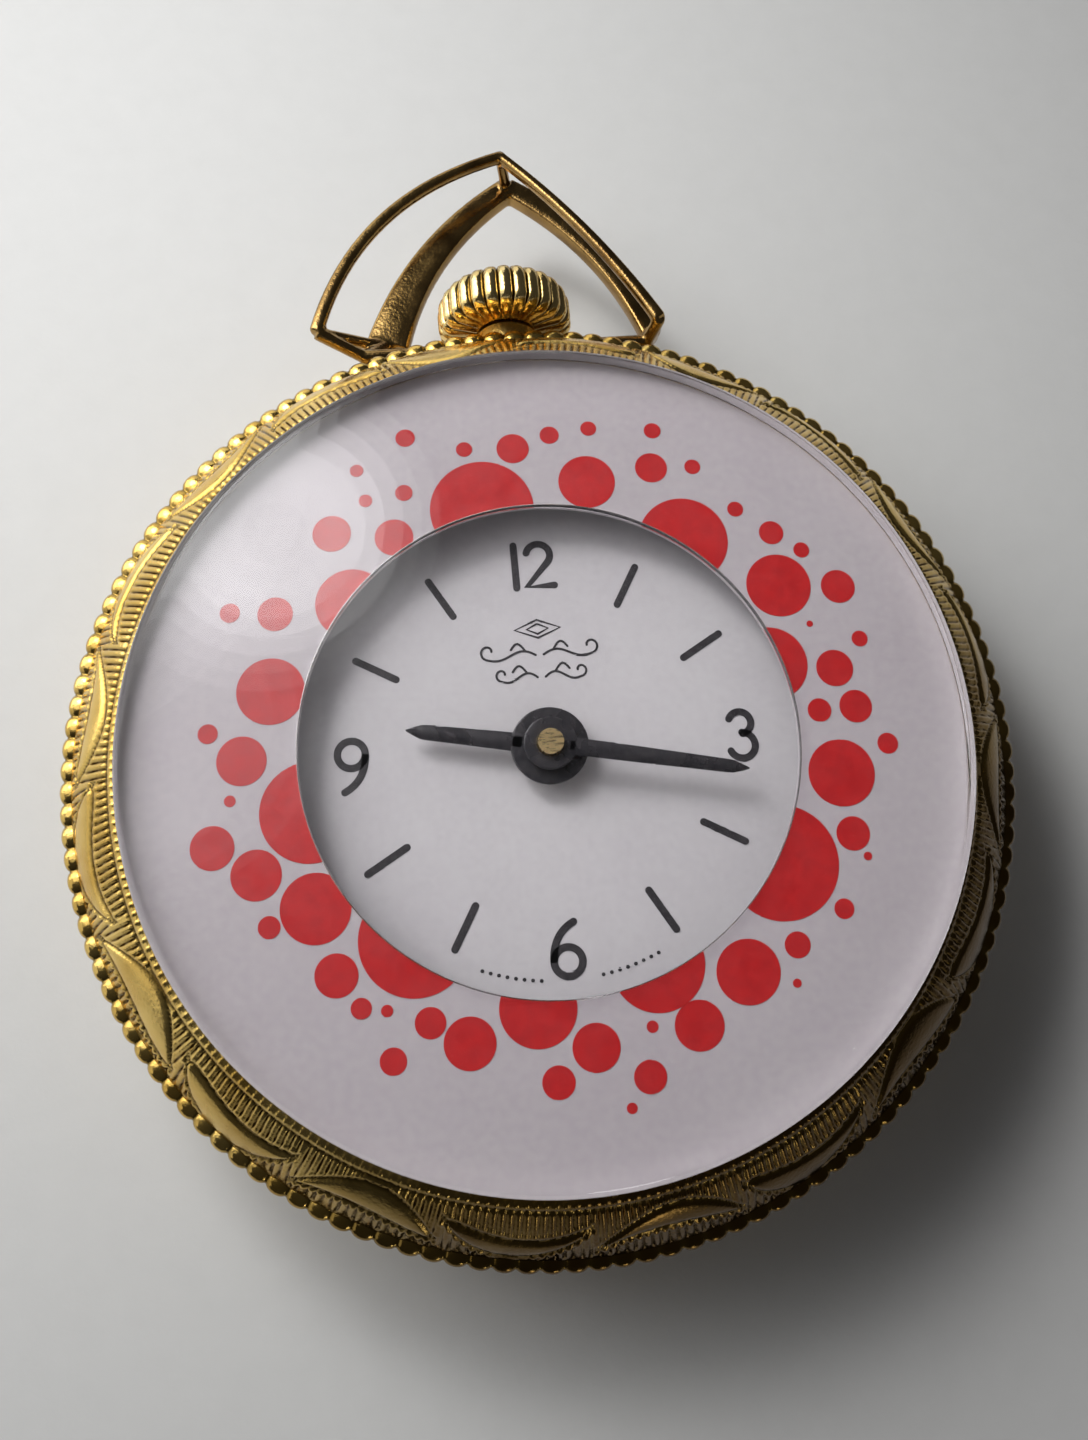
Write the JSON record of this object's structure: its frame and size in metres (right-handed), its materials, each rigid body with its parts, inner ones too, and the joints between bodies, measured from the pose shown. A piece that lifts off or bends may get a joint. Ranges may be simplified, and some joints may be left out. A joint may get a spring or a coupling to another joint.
{
  "type": "fob watch",
  "caption": "Round hand-wound pendant watch with an engraved gold-tone bezel, thick domed crystal, dotted ring, fluted crown and an open pointed bow.",
  "frame": {"origin": "centre of the flat of the case back, on the dial's axis, where the watch rests on its back", "axes": "+Z out of the dial, +Y towards twelve o'clock, the crown and the bow, +X towards three o'clock"},
  "size_m": [0.036, 0.0453, 0.0114],
  "materials": {
    "gold_case": "bright gold-tone plating, engraved and worn at the edges",
    "clear_crystal": "polished clear acrylic",
    "print_ring": "white print with red dots",
    "white_dial": "satin white lacquer with black figures",
    "black_lacquer": "black lacquer",
    "spacer": "moulded",
    "brass": "brushed and gilt",
    "steel": "ground"
  },
  "bodies": {
    "root": {"case_back": "gold_case", "case_band": "gold_case", "bezel": "gold_case", "crystal": "clear_crystal", "printed_ring": "print_ring", "movement_ring": "spacer", "pendant_tube": "gold_case", "setting_lever_screw": "steel", "setting_jumper": "steel", "yoke_screw": "steel", "yoke_spring": "steel", "main_plate": "brass", "barrel_bridge": "brass", "train_bridge": "brass", "bridge_screws": "steel", "balance_cock": "brass", "balance_cock_screw": "steel", "pallet_cock": "brass", "pallet_cock_screw": "steel", "case_clamps": "steel", "click_spring": "steel", "hairspring": "steel", "hairspring_stud": "brass", "regulator_boss": "steel", "dial_washer": "brass", "dial": "white_dial"},
    "bow": {"bow": "gold_case"},
    "winding_pinion": {"winding_pinion": "steel"},
    "stem": {"stem": "steel", "crown": "gold_case"},
    "sliding_pinion": {"sliding_pinion": "steel"},
    "setting_lever": {"setting_lever": "steel"},
    "yoke": {"yoke": "steel"},
    "crown_wheel": {"crown_wheel": "steel"},
    "ratchet": {"ratchet_wheel": "steel", "barrel_arbor": "steel"},
    "click": {"click": "steel"},
    "barrel": {"barrel_drum": "brass", "barrel_cover": "brass", "mainspring": "steel"},
    "centre": {"centre_wheel": "brass"},
    "third": {"third_wheel": "brass"},
    "fourth": {"fourth_wheel": "brass"},
    "escape": {"escape_wheel": "brass"},
    "pallet": {"pallet_lever": "steel", "pallet_pins": "steel"},
    "balance": {"balance_wheel": "brass", "balance_staff": "steel", "roller": "steel"},
    "regulator": {"regulator": "steel"},
    "minute_hand": {"cannon_pinion": "brass", "minute_hand": "black_lacquer"},
    "minute_wheel": {"minute_wheel": "brass"},
    "hour_hand": {"hour_wheel": "brass", "hour_hand": "black_lacquer"},
    "setting_wheel": {"setting_wheel": "steel"}
  },
  "joints": [
    {"name": "bow_swing", "type": "hinge", "parent": "root", "child": "bow", "pos_m": [0, 0.01795, 0.005], "axis": [1, 0, 0], "range_deg": [-80, 75]},
    {"name": "crown_turn", "type": "hinge", "parent": "root", "child": "winding_pinion", "pos_m": [0, 0.0085, 0.005], "axis": [0, 1, 0], "continuous": true},
    {"name": "crown_pull", "type": "slide", "parent": "winding_pinion", "child": "stem", "axis": [0, 1, 0], "range_m": [0, 0.0009]},
    {"name": "clutch_slide", "type": "slide", "parent": "winding_pinion", "child": "sliding_pinion", "axis": [0, -1, 0], "range_m": [0, 0.00071]},
    {"name": "setting_lever_turn", "type": "hinge", "parent": "root", "child": "setting_lever", "pos_m": [0.004, 0.0092, 0.00565], "axis": [0, 0, 1], "range_deg": [-14.8, 0]},
    {"name": "yoke_turn", "type": "hinge", "parent": "root", "child": "yoke", "pos_m": [-0.0041, 0.0069, 0.00565], "axis": [0, 0, 1], "range_deg": [-11.7, 0]},
    {"name": "crown_wheel_turn", "type": "hinge", "parent": "root", "child": "crown_wheel", "pos_m": [0, 0.00565, 0.00415], "axis": [0, 0, 1], "continuous": true},
    {"name": "ratchet_turn", "type": "hinge", "parent": "root", "child": "ratchet", "pos_m": [-0.00496, 0.00181, 0.00415], "axis": [0, 0, 1], "continuous": true},
    {"name": "click_lift", "type": "hinge", "parent": "root", "child": "click", "pos_m": [-0.00663, -0.00279, 0.00415], "axis": [0, 0, 1], "range_deg": [0, 10], "stiffness_Nm_per_rad": 0.000002},
    {"name": "train_run", "type": "hinge", "parent": "root", "child": "fourth", "pos_m": [0.00207, -0.00468, 0.003], "axis": [0, 0, -1], "continuous": true},
    {"name": "third_turn", "type": "hinge", "parent": "root", "child": "third", "pos_m": [0.00312, -0.0018, 0.0035], "axis": [0, 0, -1], "continuous": true},
    {"name": "centre_turn", "type": "hinge", "parent": "root", "child": "centre", "pos_m": [0, 0, 0.0035], "axis": [0, 0, -1], "continuous": true},
    {"name": "barrel_turn", "type": "hinge", "parent": "root", "child": "barrel", "pos_m": [-0.00496, 0.00181, 0.003], "axis": [0, 0, -1], "continuous": true},
    {"name": "escape_turn", "type": "hinge", "parent": "root", "child": "escape", "pos_m": [-0.00064, -0.00566, 0.0035], "axis": [0, 0, -1], "continuous": true},
    {"name": "pallet_rock", "type": "hinge", "parent": "root", "child": "pallet", "pos_m": [-0.00272, -0.00536, 0.0037], "axis": [0, 0, 1], "range_deg": [-4.5, 4.5]},
    {"name": "balance_swing", "type": "hinge", "parent": "root", "child": "balance", "pos_m": [-0.0052, -0.005, 0.0023], "axis": [0, 0, 1], "range_deg": [-220, 220], "stiffness_Nm_per_rad": 0.00000076},
    {"name": "regulator_turn", "type": "hinge", "parent": "root", "child": "regulator", "pos_m": [-0.0052, -0.005, 0.00086], "axis": [0, 0, 1], "range_deg": [-15, 15]},
    {"name": "hand_setting", "type": "hinge", "parent": "root", "child": "minute_hand", "pos_m": [0, 0, 0.0065], "axis": [0, 0, -1], "continuous": true},
    {"name": "minute_wheel_turn", "type": "hinge", "parent": "root", "child": "minute_wheel", "pos_m": [0.00052, 0.00193, 0.0055], "axis": [0, 0, -1], "continuous": true},
    {"name": "hour_hand_turn", "type": "hinge", "parent": "root", "child": "hour_hand", "pos_m": [0, 0, 0.0057], "axis": [0, 0, -1], "continuous": true},
    {"name": "setting_wheel_turn", "type": "hinge", "parent": "root", "child": "setting_wheel", "pos_m": [0.0002, 0.00441, 0.0054], "axis": [0, 0, -1], "continuous": true}
  ],
  "couplings": [
    {"joint": "clutch_slide", "follows": "crown_pull", "ratio": 0.77778},
    {"joint": "setting_lever_turn", "follows": "crown_pull", "rad_per_m": -283.9},
    {"joint": "yoke_turn", "follows": "crown_pull", "rad_per_m": -222.8},
    {"joint": "crown_wheel_turn", "follows": "crown_turn", "ratio": 0.26667},
    {"joint": "ratchet_turn", "follows": "crown_turn", "ratio": -0.22222},
    {"joint": "third_turn", "follows": "train_run", "ratio": -0.13333},
    {"joint": "centre_turn", "follows": "train_run", "ratio": 0.016667},
    {"joint": "barrel_turn", "follows": "train_run", "ratio": -0.0021368},
    {"joint": "escape_turn", "follows": "train_run", "ratio": -10},
    {"joint": "minute_wheel_turn", "follows": "hand_setting", "ratio": -0.33333},
    {"joint": "hour_hand_turn", "follows": "hand_setting", "ratio": 0.083333},
    {"joint": "setting_wheel_turn", "follows": "hand_setting", "ratio": 0.5}
  ]
}
